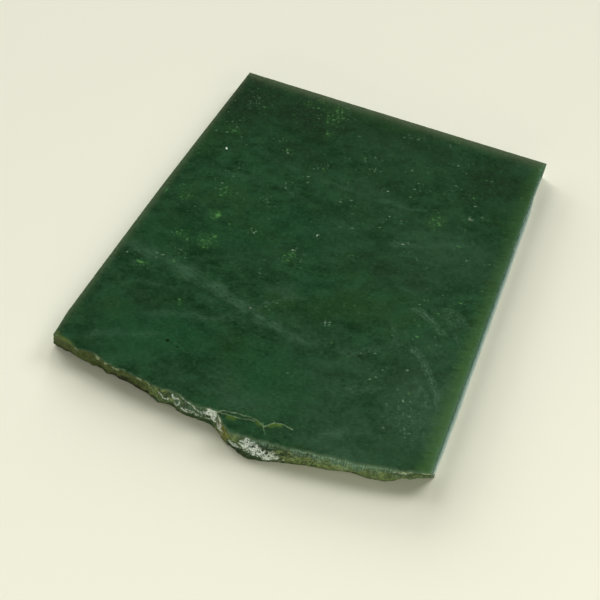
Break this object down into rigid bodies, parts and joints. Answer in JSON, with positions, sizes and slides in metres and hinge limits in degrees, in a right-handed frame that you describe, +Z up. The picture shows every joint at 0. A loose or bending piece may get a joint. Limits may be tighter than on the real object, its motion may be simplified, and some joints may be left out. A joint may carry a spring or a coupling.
{
  "type": "jade slab",
  "caption": "Flat sawn slab of dark green jade with a polished top, straight sawn sides and one rough natural edge at the front.",
  "frame": {"origin": "middle of the slab's box, on the sawn underside that it rests on", "axes": "+Z up through the thickness, +Y from the natural front edge towards the straight back edge, +X to the right along the back edge"},
  "size_m": [0.1094, 0.1382, 0.006],
  "materials": {
    "jade": "polished top with green flecks and cloudy bands; matte olive rind with white crust on the natural edge"
  },
  "bodies": {
    "root": {"jade_slab": "jade"}
  },
  "joints": []
}
